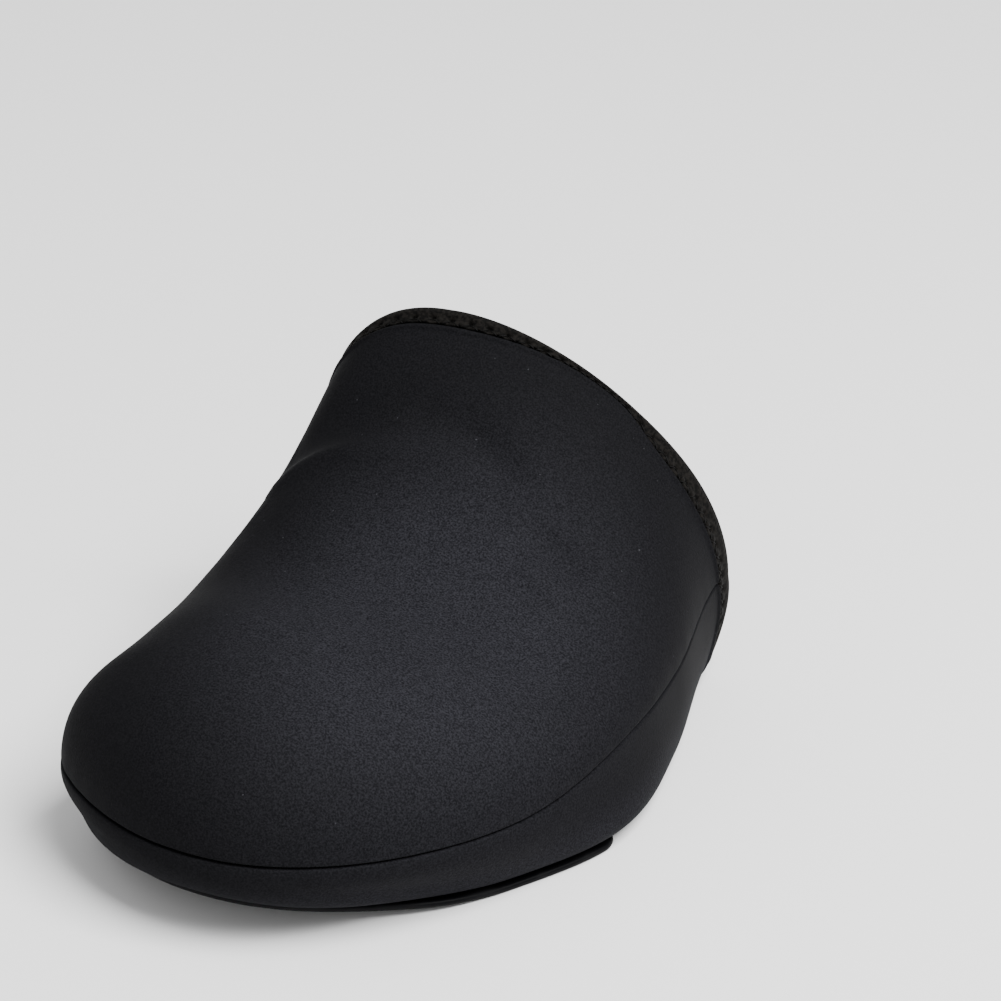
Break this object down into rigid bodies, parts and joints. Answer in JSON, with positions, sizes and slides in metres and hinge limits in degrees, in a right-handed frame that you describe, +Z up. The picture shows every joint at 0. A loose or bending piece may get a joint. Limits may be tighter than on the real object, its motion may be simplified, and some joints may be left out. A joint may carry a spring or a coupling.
{
  "type": "cycling overshoe",
  "caption": "Half-length cycling overshoe for a left shoe: a neoprene toe cover with an open collar, a cleat opening underneath, a toe patch and a bound hem.",
  "frame": {"origin": "on the floor under the middle of the cover's bounding box", "axes": "+X to the outer side of the left foot, +Y from the toe to the open back, +Z up"},
  "size_m": [0.1076, 0.1508, 0.0843],
  "materials": {
    "neoprene": "matte nylon-faced neoprene, near black with a blue-grey cast, fine knit grain",
    "sole_fabric": "matte hard-wearing woven face",
    "patch_rubber": "semi-gloss abrasion-resistant rubber",
    "binding_tape": "matte folded edge tape with zigzag stitching"
  },
  "bodies": {
    "root": {"upper": "neoprene", "sole_panel": "sole_fabric", "toe_patch": "patch_rubber", "hem_binding": "binding_tape"}
  },
  "joints": []
}
